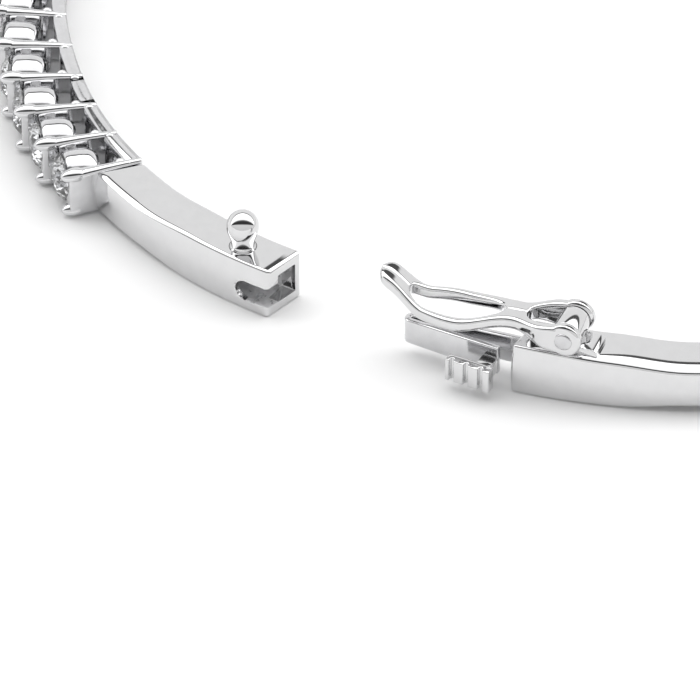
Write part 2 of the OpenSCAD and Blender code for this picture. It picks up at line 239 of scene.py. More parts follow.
# ---------------------------------------------------------------- mesh building
class Shape:
    """Vertices and faces gathered in millimetres."""

    def __init__(self):
        self.points = []
        self.faces = []

    def add(self, points, faces, place=None):
        start = len(self.points)
        self.points += [place @ Vector(p) if place else Vector(p) for p in points]
        self.faces += [[i + start for i in face] for face in faces]

    def loft(self, rings, place=None):
        """A closed solid through rings of equal length, with a flat cap on each end."""
        count = len(rings[0])
        points = [p for ring in rings for p in ring]
        faces = [list(range(count))[::-1], list(range(len(points) - count, len(points)))]
        for i in range(len(rings) - 1):
            for j in range(count):
                k = (j + 1) % count
                faces.append([i * count + j, i * count + k, (i + 1) * count + k, (i + 1) * count + j])
        self.add(points, faces, place)

    def lathe(self, profile, place=None, segments=48, closed=False):
        """Turns (radius, height) points about local +Z. A closed profile makes a ring."""
        points = []
        for radius, height in profile:
            for j in range(segments):
                angle = 2 * pi * j / segments
                points.append((radius * cos(angle), radius * sin(angle), height))
        rows = len(profile)
        faces = []
        for i in range(rows if closed else rows - 1):
            for j in range(segments):
                k, n = (j + 1) % segments, (i + 1) % rows
                faces.append([i * segments + j, i * segments + k, n * segments + k, n * segments + j])
        if not closed:
            faces.append(list(range(segments))[::-1])
            faces.append(list(range((rows - 1) * segments, rows * segments)))
        self.add(points, faces, place)

    def ball(self, centre, radii, place=None, rows=10, segments=16):
        """A round bead of three radii."""
        profile = [(max(sin(pi * i / rows), 1e-3), -cos(pi * i / rows)) for i in range(rows + 1)]
        size = Matrix.Diagonal((*radii, 1))
        local = Matrix.Translation(centre) @ size
        self.lathe(profile, place @ local if place else local, segments)

    def mesh(self, name="work"):
        mesh = bpy.data.meshes.new(name)
        mesh.from_pydata(self.points, [], self.faces)
        work = bmesh.new()
        work.from_mesh(mesh)
        bmesh.ops.remove_doubles(work, verts=work.verts, dist=1e-5)
        bmesh.ops.dissolve_degenerate(work, dist=1e-5, edges=work.edges)
        bmesh.ops.recalc_face_normals(work, faces=work.faces)
        work.to_mesh(mesh)
        work.free()
        return mesh


def outer_corner(w1, half, r, wide, crown, steps):
    """Upper half of an outline's outer face, from its middle up to its top.

    The face turns by crown, then a corner of height r reaches wide inwards.
    """
    first = math.atan(math.tan(crown) * r / wide)
    corner_w = w1 - wide
    points = []
    if crown > 0:
        face_r = (half - r + r * sin(first)) / sin(crown)
        corner_w = w1 - face_r * (1 - cos(crown)) - wide * cos(first)
        for i in range(steps):
            lean = crown * i / steps
            points.append((w1 - face_r + face_r * cos(lean), face_r * sin(lean)))
    for i in range(steps + 1):
        lean = first + (pi / 2 - first) * i / steps
        points.append((corner_w + wide * cos(lean), half - r + r * sin(lean)))
    return points


def rounded_section(w0, w1, z0, z1, r_out, r_in, spread=1.0, steps=5, crown=0.0):
    """Closed outline in (w, z) with round corners.

    The upper outer corner reaches spread times as far along w as along z. crown is how far the outer
    face turns to meet it; the lower half turns by a third of that.
    """
    mid, half = (z0 + z1) / 2, (z1 - z0) / 2
    limit = min(w1 - w0, z1 - z0) / 2 - 1e-3
    r, q = min(r_out, limit), min(r_in, limit)
    inner = []
    for i in range(steps + 1):
        lean = pi / 2 * i / steps
        inner.append((w0 + q - q * sin(lean), half - q + q * cos(lean)))
    upper = outer_corner(w1, half, r, min(r * spread, (w1 - w0) * 0.45), crown, steps) + inner
    lower = outer_corner(w1, half, r, r, crown / 3, steps) + inner
    return [(w, mid + z) for w, z in upper] + [(w, mid - z) for w, z in lower[::-1] if z > 1e-9]


def sweep(shape, path, s0, s1, section, step=0.35, round_off=0.06, steps=5, crown=0.0, slant=None):
    """Sweeps section(s) along path(s), with rounded ends.

    section(s) gives w0, w1, z0, z1, r_out, r_in, and spread if any.
    """
    rows = 4
    inner = max(2, math.ceil((s1 - s0 - 2 * round_off) / step))
    ends = [
        (round_off * (1 - cos(pi / 2 * i / rows)), round_off * (1 - sin(pi / 2 * i / rows)))
        for i in range(rows)]
    marks = [(s0 + along, inset) for along, inset in ends]
    marks += [(s0 + round_off + (s1 - s0 - 2 * round_off) * i / inner, 0.0) for i in range(inner + 1)]
    marks += [(s1 - along, inset) for along, inset in ends[::-1]]
    rings = []
    for s, inset in marks:
        point, out = path(s)
        w0, w1, z0, z1, r_out, r_in, *spread = section(s)
        along = Vector((-out.y, out.x, 0)) * (slant(s) if slant else 0)
        ring = rounded_section(
            w0 + inset, w1 - inset, z0 + inset, z1 - inset,
            max(r_out - inset, 0.01), max(r_in - inset, 0.01), *spread, steps=steps, crown=crown)
        rings.append([point + w * out + (BAND_T - w) * along + Vector((0, 0, z)) for w, z in ring])
    shape.loft(rings)


def prism(shape, outline, z0, z1, place=None):
    """Extrudes a plan outline from z0 to z1."""
    shape.loft([[(x, y, z) for x, y in outline] for z in (z0, z1)], place)


def block(shape, low, high, place=None):
    outline = [(low[0], low[1]), (high[0], low[1]), (high[0], high[1]), (low[0], high[1])]
    prism(shape, outline, low[2], high[2], place)


def bevelled(mesh, width, segments=3, angle=35):
    """Rounds the sharp edges of a mesh."""
    work = bmesh.new()
    work.from_mesh(mesh)
    sharp = [e for e in work.edges if len(e.link_faces) == 2 and degrees(e.calc_face_angle(0)) > angle]
    bmesh.ops.bevel(
        work, geom=sharp, offset=width, segments=segments, profile=0.5, affect="EDGES",
        clamp_overlap=True, offset_type="OFFSET")
    work.to_mesh(mesh)
    work.free()
    return mesh


def with_modifiers(mesh, *settings):
    """The mesh after modifiers, each given as (type, {property: value})."""
    holder = bpy.data.objects.new("work", mesh)
    bpy.context.scene.collection.objects.link(holder)
    for kind, values in settings:
        modifier = holder.modifiers.new(kind.lower(), kind)
        for key, value in values.items():
            setattr(modifier, key, value)
    bpy.context.view_layer.update()
    evaluated = holder.evaluated_get(bpy.context.evaluated_depsgraph_get())
    result = bpy.data.meshes.new_from_object(evaluated)
    bpy.data.objects.remove(holder)
    return result


def cut(mesh, *tools):
    """The mesh with each tool mesh taken away."""
    for tool in tools:
        cutter = bpy.data.objects.new("cutter", tool)
        bpy.context.scene.collection.objects.link(cutter)
        settings = {"object": cutter, "operation": "DIFFERENCE", "solver": "EXACT"}
        mesh = with_modifiers(mesh, ("BOOLEAN", settings))
        bpy.data.objects.remove(cutter)
    return mesh


def finish_piece(name, mesh, body, nodes, material, front=False, flat=False):
    """Scales a mesh to metres, opens front pieces, and hangs it on its body in place of its CAD nodes."""
    if front:
        mesh.transform(OPEN_FRONT)
    mesh.transform(Matrix.Scale(MM, 4))
    mesh.name = name
    piece = bpy.data.objects.new(name, mesh)
    bpy.context.scene.collection.objects.link(piece)
    mesh.materials.clear()
    mesh.materials.append(material)
    for face in mesh.polygons:
        face.use_smooth = not flat
    if not flat:
        weighted = piece.modifiers.new("weighted_normals", "WEIGHTED_NORMAL")
        weighted.weight = 80
    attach(piece, body)
    if nodes:
        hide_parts(*nodes)
    return piece


# ---------------------------------------------------------------- materials
def new_material(name):
    material = bpy.data.materials.new(name)
    material.use_nodes = True
    nodes, links = material.node_tree.nodes, material.node_tree.links
    return material, nodes, links, nodes["Principled BSDF"]


def noise(nodes, links, coordinates, scale, detail=2.0, stretch=(1, 1, 1)):
    mapping = nodes.new("ShaderNodeMapping")
    mapping.inputs["Scale"].default_value = stretch
    links.new(coordinates, mapping.inputs["Vector"])
    texture = nodes.new("ShaderNodeTexNoise")
    texture.inputs["Scale"].default_value = scale
    texture.inputs["Detail"].default_value = detail
    links.new(mapping.outputs["Vector"], texture.inputs["Vector"])
    return texture.outputs["Fac"]


def ramp(nodes, links, value, low, high, start=0.35, end=0.65):
    """Maps a value to a range of greys or colours."""
    stops = nodes.new("ShaderNodeValToRGB")
    stops.color_ramp.elements[0].position = start
    stops.color_ramp.elements[0].color = (*low, 1)
    stops.color_ramp.elements[1].position = end
    stops.color_ramp.elements[1].color = (*high, 1)
    links.new(value, stops.inputs["Fac"])
    return stops.outputs["Color"]


def metal(name, light, dark, rough, rough_swing, wave, scratch, stretch=(1, 1, 1), metallic=1.0):
    """Polished metal: a slow wave from hand polishing, fine hairlines, and an uneven shine."""
    material, nodes, links, shader = new_material(name)
    shader.inputs["Metallic"].default_value = metallic
    place = nodes.new("ShaderNodeTexCoord").outputs["Object"]
    slow = noise(nodes, links, place, 700, 1.0)
    patches = noise(nodes, links, place, 1800, 3.0)
    hairlines = noise(nodes, links, place, 9000, 4.0, stretch)
    links.new(ramp(nodes, links, patches, dark, light), shader.inputs["Base Color"])
    rough_low = (rough - rough_swing,) * 3
    rough_high = (rough + rough_swing,) * 3
    links.new(ramp(nodes, links, patches, rough_low, rough_high), shader.inputs["Roughness"])
    coarse = nodes.new("ShaderNodeBump")
    coarse.inputs["Strength"].default_value = wave
    coarse.inputs["Distance"].default_value = 0.0001
    links.new(slow, coarse.inputs["Height"])
    fine = nodes.new("ShaderNodeBump")
    fine.inputs["Strength"].default_value = scratch
    fine.inputs["Distance"].default_value = 0.00001
    links.new(hairlines, fine.inputs["Height"])
    links.new(coarse.outputs["Normal"], fine.inputs["Normal"])
    links.new(fine.outputs["Normal"], shader.inputs["Normal"])
    return material


def stone_material():
    """Clear brilliant: high index, with faint growth haze that varies through it."""
    material, nodes, links, shader = new_material("clear_stone")
    shader.inputs["Transmission Weight"].default_value = 1.0
    shader.inputs["IOR"].default_value = 2.2
    place = nodes.new("ShaderNodeTexCoord").outputs["Object"]
    haze = noise(nodes, links, place, 2500, 3.0)
    links.new(ramp(nodes, links, haze, (0.93, 0.95, 0.98), (1, 1, 1)), shader.inputs["Base Color"])
    links.new(ramp(nodes, links, haze, (0.0,) * 3, (0.012,) * 3), shader.inputs["Roughness"])
    return material


POLISHED = metal("polished_white_metal", (0.71, 0.71, 0.715), (0.69, 0.69, 0.695), 0.05, 0.015, 0.04, 0.03)
CAST = metal("cast_gallery_metal", (0.72, 0.72, 0.73), (0.66, 0.66, 0.67), 0.10, 0.03, 0.10, 0.06)
STRIP = metal(
    "rolled_strip_metal", (0.70, 0.70, 0.71), (0.66, 0.66, 0.67), 0.12, 0.03, 0.06, 0.10, (1, 1, 14))
# Walls inside the box: rougher metal whose pale, patchy base colour and half-diffuse finish paint light into
# the shaded hollow.
CAVITY = metal("unpolished_cavity_metal_with_painted_light", (0.95, 0.95, 0.96), (0.6, 0.6, 0.61), 0.35, 0.12,
               1.0, 0.8, metallic=0.5)
WIRE = metal("drawn_wire_metal", (0.68, 0.68, 0.69), (0.62, 0.62, 0.63), 0.14, 0.04, 0.05, 0.12, (10, 1, 1))
STONE = stone_material()


# ---------------------------------------------------------------- back half
def back_section(s):
    """Full height over the clasp block, then lower. The outer edges grow rounder away from the clasp."""
    drop = (s - BLOCK_LENGTH) / TAPER_LENGTH
    half = smooth(CLASP_H, BAND_H, drop) / 2
    edge = smooth(0.12, 0.23, s / 4)
    return 0, BAND_T, MID_Z - half, MID_Z + half, edge, 0.12, smooth(1, 3.2, (s - 1.5) / 4)


def hinge_limit():
    """Distance along the inside where the arms end at the hinge."""
    return HALF_ARC - END_RADIUS * asin(HINGE_FACE / (END_RADIUS + BAND_T / 2))


def joint_slant(s):
    """How far the ends at the clasp lean along the band, per unit of thickness, from the outside in."""
    return math.tan(FACE_SKEW) * max(0, 1 - (s - FACE_GAP) / SKEW_REACH)


def make_back_band():
    shape = Shape()
    sweep(
        shape, back_path, FACE_GAP, hinge_limit(), back_section,
        round_off=0.12, steps=9, crown=CROWN_LEAN, slant=joint_slant)
    finish_piece("polished_back_band", shape.mesh(), "back_half", ["back_band"], POLISHED)


# ---------------------------------------------------------------- tongue
def tongue_h(reach):
    """Height of the tongue at a distance from the clasp plane."""
    return TONGUE_ROOT_H + (TONGUE_TIP_H - TONGUE_ROOT_H) * min(max(reach / FOLD.y, 0), 1)


FOLD_R = LEAF_T + 0.05
FOLD_MID_R = FOLD_R - LEAF_T / 2
TONGUE_SUNK = 1.25
BASE_STRAIGHT = FOLD.y + TONGUE_SUNK


def base_path(s):
    """Straight inner leaf, then half way round the fold, with outwards away from the fold's centre."""
    inner_x = FOLD.x + FOLD_MID_R
    if s < BASE_STRAIGHT:
        return Vector((inner_x, -TONGUE_SUNK + s, 0)), Vector((1, 0, 0))
    angle = (s - BASE_STRAIGHT) / FOLD_MID_R
    out = Vector((cos(angle), sin(angle), 0))
    return Vector((FOLD.x, FOLD.y, 0)) + FOLD_MID_R * out, out


def make_tongue_base():
    shape = Shape()

    def section(s):
        half = tongue_h(s - TONGUE_SUNK) / 2
        return -LEAF_T / 2, LEAF_T / 2, MID_Z - half, MID_Z + half, 0.06, 0.06

    end = BASE_STRAIGHT + FOLD_MID_R * radians(150)
    sweep(shape, base_path, 0, end, section, step=0.06, round_off=0.03, steps=3)
    finish_piece("tongue_fixed_leaf", shape.mesh(), "back_half", ["tongue_base"], STRIP)


def leaf_place():
    """Origin on the fold axis, +X outwards, +Y towards the free end."""
    return Matrix.Translation((FOLD.x, FOLD.y, 0)) @ Matrix.Rotation(pi - LEAF_ANGLE, 4, "Z")


def make_spring_leaf():
    shape = Shape()
    wrap = radians(50)
    start = FOLD_MID_R * wrap
    place = leaf_place()
    turn = place.to_3x3()

    def path(s):
        if s < start:
            angle = wrap - s / FOLD_MID_R
            out = Vector((cos(angle), -sin(angle), 0))
            local = FOLD_MID_R * out
        else:
            out = Vector((1, 0, 0))
            local = Vector((FOLD_MID_R, s - start, 0))
        return place @ local, turn @ out

    def section(s):
        half = tongue_h(FOLD.y * (1 - max(s - start, 0) / LEAF_LENGTH)) / 2
        half_t = LEAF_T / 2 - 0.004
        return -half_t, half_t, MID_Z - half, MID_Z + half, 0.07, 0.05

    sweep(shape, path, 0, start + LEAF_LENGTH, section, step=0.08, round_off=0.05, steps=3)
    finish_piece(
        "tongue_sprung_leaf", shape.mesh(), "tongue_spring", ["tongue_spring_leaf"], STRIP)


def make_thumb_pad():
    """Ribbed pad on a neck. The grooves are cut in its outline, so they run the pad's whole height."""
    outer = PAD_GAP + PAD_T
    end = PAD_START + PAD_LENGTH
    outline = [(PAD_GAP, end), (PAD_GAP, PAD_START), (outer, PAD_START)]
    for i in range(3):
        middle = PAD_START + GROOVE_FIRST + i * GROOVE_PITCH
        for along, depth in ((-0.5, 0), (-0.38, 0.75), (0, 1), (0.38, 0.75), (0.5, 0)):
            outline.append((outer - depth * GROOVE_DEPTH, middle + along * GROOVE_W))
    outline.append((outer, end))
    shape = Shape()
    prism(shape, outline[::-1], SLOT_Z - PAD_H / 2, SLOT_Z + PAD_H / 2, leaf_place())
    mesh = bevelled(shape.mesh(), 0.045, 3)
    neck = Shape()
    low = (FOLD_R - 0.01, NECK_START, SLOT_Z - NECK_H / 2)
    high = (PAD_GAP + 0.05, LEAF_LENGTH, SLOT_Z + NECK_H / 2)
    block(neck, low, high, leaf_place())
    finish_piece(
        "ribbed_thumb_pad", joined(mesh, bevelled(neck.mesh(), 0.03)), "tongue_spring", ["thumb_pad"],
        POLISHED)


def joined(*meshes):
    """One mesh of several."""
    work = bmesh.new()
    for mesh in meshes:
        work.from_mesh(mesh)
    result = bpy.data.meshes.new("joined")
    work.to_mesh(result)
    work.free()
    return result


# ---------------------------------------------------------------- safety lever
WAIST = -SAFETY.y + 0.05
LOOP_MID = -SAFETY.y + 2.8
LOOP_END = -SAFETY.y + 5.1
TIP_MID = -SAFETY.y + 5.75
TIP_R = 0.66
WAIST_HALF, LOOP_HALF, HOLE_HALF, HOLE_SKEW = 0.7, 1.2, 0.82, 1.05
HOLE_START = -SAFETY.y + 0.6
SLIT_END = -SAFETY.y - 0.4
SLIT_HALF = BAND_T / 2 - EAR_T


def lever_half(y):
    """Half width of the lever's outline at a distance from its pin."""
    if y < EAR_R:
        return BAND_T / 2
    if y < WAIST:
        return smooth(BAND_T / 2, WAIST_HALF, (y - EAR_R) / (WAIST - EAR_R))
    if y < LOOP_MID:
        return smooth(WAIST_HALF, LOOP_HALF, (y - WAIST) / (LOOP_MID - WAIST))
    if y < TIP_MID:
        return smooth(LOOP_HALF, TIP_R, (y - LOOP_MID) / (TIP_MID - LOOP_MID))
    return sqrt(max(TIP_R**2 - (y - TIP_MID) ** 2, 1e-4))


def hole_half(y):
    """Half width of the two openings of the eight."""
    if y < LUG_R:
        return SLIT_HALF
    if y < SLIT_END:
        return SLIT_HALF * sqrt(max(1 - ((y - LUG_R) / (SLIT_END - LUG_R)) ** 2, 0))
    if HOLE_START < y < LOOP_END:
        return HOLE_HALF * sqrt(max(sin(pi * ((y - HOLE_START) / (LOOP_END - HOLE_START)) ** HOLE_SKEW), 0))
    return 0.0


def lever_top(y):
    """Height of the lever's top above its pin: falling to the loop, then the raised finger tip."""
    if y < WAIST:
        return smooth(0.6, 0.25, y / WAIST)
    if y < LOOP_MID:
        return smooth(0.25, -0.22, (y - WAIST) / (LOOP_MID - WAIST))
    return smooth(-0.22, 0.95, (y - LOOP_MID - 1.4) / 2.1)


def lever_bottom(y):
    return lever_top(y) - smooth(1.3, RAIL_T, (y - 0.3) / (WAIST - 0.3))


def make_safety_lever():
    """Two rails that meet at the waist and the finger tip, each with an ear, melted into one casting."""
    shape = Shape()
    start, reach = EAR_R * 0.4, TIP_MID + TIP_R - 0.01
    count = 170
    for side in (-1, 1):
        rings = []
        for i in range(count + 1):
            y = start + (reach - start) * i / count
            inner, outer = hole_half(y), lever_half(y)
            inner = inner if inner > 0 else -0.05
            section = rounded_section(
                inner, outer + 0.06, lever_bottom(y), lever_top(y) + 0.05, 0.2, 0.15, steps=4)
            rings.append([(side * w, y, z) for w, z in section])
        shape.loft(rings)
        ear = Matrix.Translation((side * (BAND_T / 2 - EAR_T / 2), 0, 0)) @ Matrix.Rotation(pi / 2, 4, "Y")
        half = EAR_T / 2
        rim = [(EAR_R - 0.1, -half), (EAR_R, -half + 0.1), (EAR_R, half - 0.1), (EAR_R - 0.1, half)]
        shape.lathe(rim, ear, 64)
    mesh = with_modifiers(
        shape.mesh(),
        ("REMESH", {"mode": "VOXEL", "voxel_size": 0.033, "adaptivity": 0.0}),
        ("SMOOTH", {"factor": 0.5, "iterations": 8}))
    mesh.transform(Matrix.Translation(SAFETY))
    finish_piece("figure_eight_lever", mesh, "safety_catch", ["safety_lever"], POLISHED)


def make_safety_pin():
    """Pin through both ears, with its ends filed to a low dome."""
    half = BAND_T / 2
    rim = 0.05
    profile = [
        (0.01, -half - 0.08), (SAFETY_PIN_R - 0.08, -half - 0.07),
        (SAFETY_PIN_R - 0.02, -half - 0.04), (SAFETY_PIN_R, -half + rim)]
    profile += [(radius, -height) for radius, height in profile[::-1]]
    shape = Shape()
    shape.lathe(profile, Matrix.Translation(SAFETY) @ Matrix.Rotation(pi / 2, 4, "Y"), 48)
    finish_piece("safety_pin_wire", shape.mesh(), "safety_catch", ["safety_pin"], WIRE)


def make_safety_lug():
    """Knuckle between the ears, on a low foot that runs back along the band."""
    floor = CLASP_H - SAFETY.z - 0.02
    top = CLASP_H - SAFETY.z + FOOT_H
    behind = -sqrt(LUG_R**2 - top**2)
    first = atan2(top, behind) % (2 * pi)
    turns = [first * (1 - i / 30) for i in range(31)]
    outline = [(-FOOT_BACK, floor), (-FOOT_BACK, top - 0.1), (-FOOT_BACK + 0.2, top)]
    outline += [(LUG_R * cos(turn), LUG_R * sin(turn)) for turn in turns]
    outline.append((LUG_R, floor))
    shape = Shape()
    prism(shape, outline, -LUG_HALF, LUG_HALF, Matrix.Translation(SAFETY) @ ON_ITS_SIDE)
    finish_piece(
        "safety_lug_knuckle", bevelled(shape.mesh(), 0.08, 3), "back_half", ["safety_lug"],
        POLISHED)


# ---------------------------------------------------------------- front half
def box_section(s):
    drop = (s - BLOCK_LENGTH) / TAPER_LENGTH
    half = smooth(CLASP_H, ARM_H, drop) / 2
    edge = smooth(0.13, 0.26, s / ARM_LENGTH)
    return 0, BAND_T, MID_Z - half, MID_Z + half, edge, 0.12, 1.2


def cavity_tool(s0, s1, w0, w1):
    shape = Shape()
    section = (w0, w1, WALL_Z, CLASP_H - WALL_Z, 0.06, 0.06)
    sweep(shape, front_path, s0, s1, lambda s: section, step=0.5, round_off=0.02, steps=3)
    return shape.mesh()


def slot_tool():
    """U-shaped slot through the outer wall, open at the box's mouth."""
    straight = SLOT_DEPTH - SLOT_H / 2
    outline = [(-1, -SLOT_H / 2), (straight, -SLOT_H / 2)]
    turns = [pi * i / 20 for i in range(1, 20)]
    outline += [(straight + SLOT_H / 2 * sin(turn), -SLOT_H / 2 * cos(turn)) for turn in turns]
    outline += [(straight, SLOT_H / 2), (-1, SLOT_H / 2)]
    place = Matrix.Translation((0, 0, SLOT_Z)) @ ON_ITS_SIDE
    shape = Shape()
    prism(shape, outline, -HALF_LENGTH - BAND_T - 1, -HALF_LENGTH - LIP_W + 0.1, place)
    return shape.mesh()


def skew_shift(w):
    """How much further from the clasp a bar stands at w than at the inside, measured along the inside."""
    return w * math.tan(GALLERY_SKEW) * END_RADIUS / (END_RADIUS + w)


def bar_reach():
    """Distance along the inside where the arm meets the first bar."""
    return ARM_LENGTH - BAR_T / 2 / cos(GALLERY_SKEW)


def in_cavity(point):
    """Whether a point is on the walls inside the box."""
    x, y, z = point.x + END_CENTRE, point.y, point.z
    w = hypot(x, y) - END_RADIUS
    slack = 0.02
    along = FACE_GAP + 0.15 < atan2(y, -x) * END_RADIUS < CAVITY_DEPTH + slack
    across = WALL_IN - slack < w < BAND_T - WALL_OUT + slack
    return along and across and WALL_Z - slack < z < CLASP_H - WALL_Z + slack


def make_box_arm():
    shape = Shape()
    end = bar_reach() + skew_shift(BAND_T)

    def slant(s):
        return joint_slant(s) + math.tan(GALLERY_SKEW) * max(0, 1 - (end - s) / SKEW_REACH)

    sweep(
        shape, front_path, FACE_GAP, end, box_section,
        step=0.3, round_off=0.16, steps=6, crown=CROWN_LEAN, slant=slant)
    mesh = cut(
        shape.mesh(),
        cavity_tool(-1, CAVITY_DEPTH, WALL_IN, LIP_W),
        cavity_tool(FACE_GAP + LIP_T, CAVITY_DEPTH, LIP_W - 0.3, BAND_T - WALL_OUT),
        slot_tool())
    mesh = bevelled(mesh, 0.06, 3, 50)
    # The walls inside the box take the cavity metal, whose pale base colour paints light into the shaded
    # hollow.
    hollow = [face.index for face in mesh.polygons if in_cavity(face.center)]
    piece = finish_piece(
        "hollow_box_arm", mesh, "front_half", ["box_arm"], POLISHED, front=True)
    piece.data.materials.append(CAVITY)
    for i in hollow:
        piece.data.polygons[i].material_index = 1


def make_stud():
    """Egg-shaped stud on a narrower neck, with a small solder fillet at its foot."""
    rows = 20
    foot = 0.14
    profile = [(NECK_R + 0.12, 0.0), (NECK_R + 0.04, 0.05)]
    for i in range(rows + 1):
        t = i / rows
        profile.append((smooth(NECK_R, BULB_R, t), foot + (BULB_Z - foot) * t))
    for i in range(1, rows + 1):
        angle = pi / 2 * i / rows
        profile.append((max(BULB_R * cos(angle), 0.004), BULB_Z + (STUD_H - BULB_Z) * sin(angle)))
    point, out = front_path(STUD_BACK * END_RADIUS / (END_RADIUS + BAND_T / 2))
    middle = point + out * BAND_T / 2
    shape = Shape()
    shape.lathe(profile, Matrix.Translation((middle.x, middle.y, CLASP_H)), 64)
    finish_piece(
        "egg_stud", shape.mesh(), "front_half", ["box_stud"], POLISHED, front=True)


AZURE_SIDES = 32


def cell_outlines(half_l, half_h):
    """The oblong round one opening of the rail and the opening's rim, as matching points."""
    edge, rim = [], []
    for j in range(AZURE_SIDES):
        angle = 2 * pi * j / AZURE_SIDES
        c, s = cos(angle), sin(angle)
        stretch = min(half_l / max(abs(c), 1e-9), half_h / max(abs(s), 1e-9))
        edge.append((c * stretch, s * stretch))
        rim.append((c * AZURE_R, s * AZURE_R))
    return edge, rim


def cell_points(edge, rim, middle, radius):
    """Four rings down the opening's wall, then the oblong on the rail's inner and outer faces."""
    points = []
    for w, flare in ((0.0, 0.05), (0.05, 0.0), (RAIL_W - 0.05, 0.0), (RAIL_W, 0.05)):
        grow = 1 + flare / AZURE_R
        points += [(x * grow, w, z * grow) for x, z in rim]
    for w in (0.0, RAIL_W):
        points += [(x, w, z) for x, z in edge]
    placed = []
    for x, w, z in points:
        point, out = station(middle + x / radius)
        placed.append(point + w * out + Vector((0, 0, MID_Z + z)))
    return placed


def cell_faces(edge, half_h, end_x):
    """Faces of one cell. end_x is where its end face is, if it is the first or last cell."""
    around = AZURE_SIDES
    faces = []
    for j in range(around):
        k = (j + 1) % around
        (x, z), (next_x, next_z) = edge[j], edge[k]
        for row in range(3):
            a, b = row * around, (row + 1) * around
            faces.append([a + j, a + k, b + k, b + j])
        faces.append([4 * around + j, 4 * around + k, k, j])
        faces.append([3 * around + j, 3 * around + k, 5 * around + k, 5 * around + j])
        side = abs(z - next_z) < 1e-6 and abs(abs(z) - half_h) < 1e-6
        end = end_x is not None and abs(x - end_x) < 1e-6 and abs(next_x - end_x) < 1e-6
        if side or end:
            faces.append([4 * around + j, 5 * around + j, 5 * around + k, 4 * around + k])
    return faces


def pierced_rail(shape):
    """Inner rail with a round opening behind each stone, one cell at a time, closed at both ends."""
    half_h = (GALLERY_Z1 - GALLERY_Z0) / 2 - 0.03
    for i in range(STONE_COUNT):
        left, right = seat_turn(i * PITCH), seat_turn((i + 1) * PITCH)
        middle = (left + right) / 2
        radius = station_radius(middle)
        half_l = (right - left) / 2 * radius
        edge, rim = cell_outlines(half_l, half_h)
        end_x = {0: -half_l, STONE_COUNT - 1: half_l}.get(i)
        shape.add(cell_points(edge, rim, middle, radius), cell_faces(edge, half_h, end_x))


def station_radius(turn):
    """Inside radius of the arc at a turn angle."""
    return END_RADIUS if turn < JOIN or turn > pi - JOIN else SIDE_RADIUS


def gallery_bar(shape, place):
    """Round-edged bar between two stones, thicker towards its claws."""
    rings = []
    for w, half in BAR_SHAPE:
        across = rounded_section(-half, half, GALLERY_Z0, GALLERY_Z1, half * 0.85, half * 0.85, steps=4)
        rings.append([(w, y, z) for y, z in across])
    shape.loft(rings, place)


def make_gallery():
    """Pierced inner rail, two crown rails, bars with claws between the stones, and a collet under each."""
    shape = Shape()
    pierced_rail(shape)
    crown_mid = (CROWN_W0 + CROWN_W1) / 2
    shift = skew_shift(crown_mid)
    s0, s1 = ARM_LENGTH + shift, HALF_ARC - ARM_LENGTH + shift
    for z0 in (GALLERY_Z0 + CROWN_DROP, GALLERY_Z1 - CROWN_DROP - CROWN_H):
        section = (CROWN_W0, CROWN_W1, z0, z0 + CROWN_H, 0.1, 0.1)
        sweep(shape, front_path, s0, s1, lambda s: section, step=0.4, steps=3)
    for i in range(STONE_COUNT + 1):
        place = bar_place(seat_turn(i * PITCH))
        gallery_bar(shape, place)
        for z in CLAW_HEIGHTS:
            shape.ball((BAR_W - 0.3, 0, z), CLAW_SIZE, place)
    for i in range(STONE_COUNT):
        turn = seat_turn((i + 0.5) * PITCH)
        shape.lathe(COLLET_RING, axis_place(turn), 40, closed=True)
        place = bar_place(turn)
        side = PITCH / 2 - BAR_T / 2 - 0.12
        for z in BEAD_HEIGHTS:
            for y in (-side, side):
                shape.ball((RAIL_W, y, z), BEAD_SIZE, place, 8, 12)
    finish_piece(
        "claw_gallery", shape.mesh(), "front_half", ["front_gallery"], CAST, front=True)


def brilliant(shape, place):
    """Round brilliant cut: table, stars, kites, upper and lower girdle facets, and pavilion mains."""
    eighth = pi / 4
    girdle = 0.03

    def ring(radius, z, shift, count=8):
        return [(radius * cos(2 * pi / count * (k + shift)), radius * sin(2 * pi / count * (k + shift)), z)
                for k in range(count)]

    star_r = (TABLE_R + STONE_R) / 2 * 1.02
    star_z = CROWN_RISE * (STONE_R - star_r * cos(eighth / 2)) / (STONE_R - TABLE_R)
    low_r = 0.28 * STONE_R
    low_z = -PAVILION * (1 - low_r * cos(eighth / 2) / STONE_R)
    table = ring(TABLE_R, CROWN_RISE + girdle, 0)
    stars = ring(star_r, star_z + girdle, 0.5)
    upper = ring(STONE_R, girdle, 0, 16)
    lower = ring(STONE_R, -girdle, 0, 16)
    mains = ring(low_r, low_z - girdle, 0.5)
    points = table + stars + upper + lower + mains + [(0, 0, -PAVILION - girdle)]
    t, s, u, v, m, culet = 0, 8, 16, 32, 48, 56
    faces = [list(range(8))]
    for k in range(8):
        n = (k + 1) % 8
        p = (k - 1) % 8
        near, mid, far = 2 * k, 2 * k + 1, (2 * k + 2) % 16
        faces += [[t + k, s + k, t + n], [t + k, s + p, u + near, s + k]]
        faces += [[s + k, u + near, u + mid], [s + k, u + mid, u + far]]
        faces += [[u + near, v + near, v + mid, u + mid], [u + mid, v + mid, v + far, u + far]]
        faces += [[v + near, m + k, v + mid], [v + mid, m + k, v + far], [v + near, m + p, culet, m + k]]
    shape.add(points, faces, place)


def make_stones():
    for i in range(STONE_COUNT):
        name = f"stone_{i + 1:02d}"
        shape = Shape()
        twist = Matrix.Rotation(radians(17 * i % 45), 4, "Z")
        brilliant(shape, axis_place(seat_turn((i + 0.5) * PITCH), GIRDLE_W) @ twist)
        finish_piece(
            "brilliant_" + name[-2:], shape.mesh(), "front_half", [name],
            STONE, front=True, flat=True)


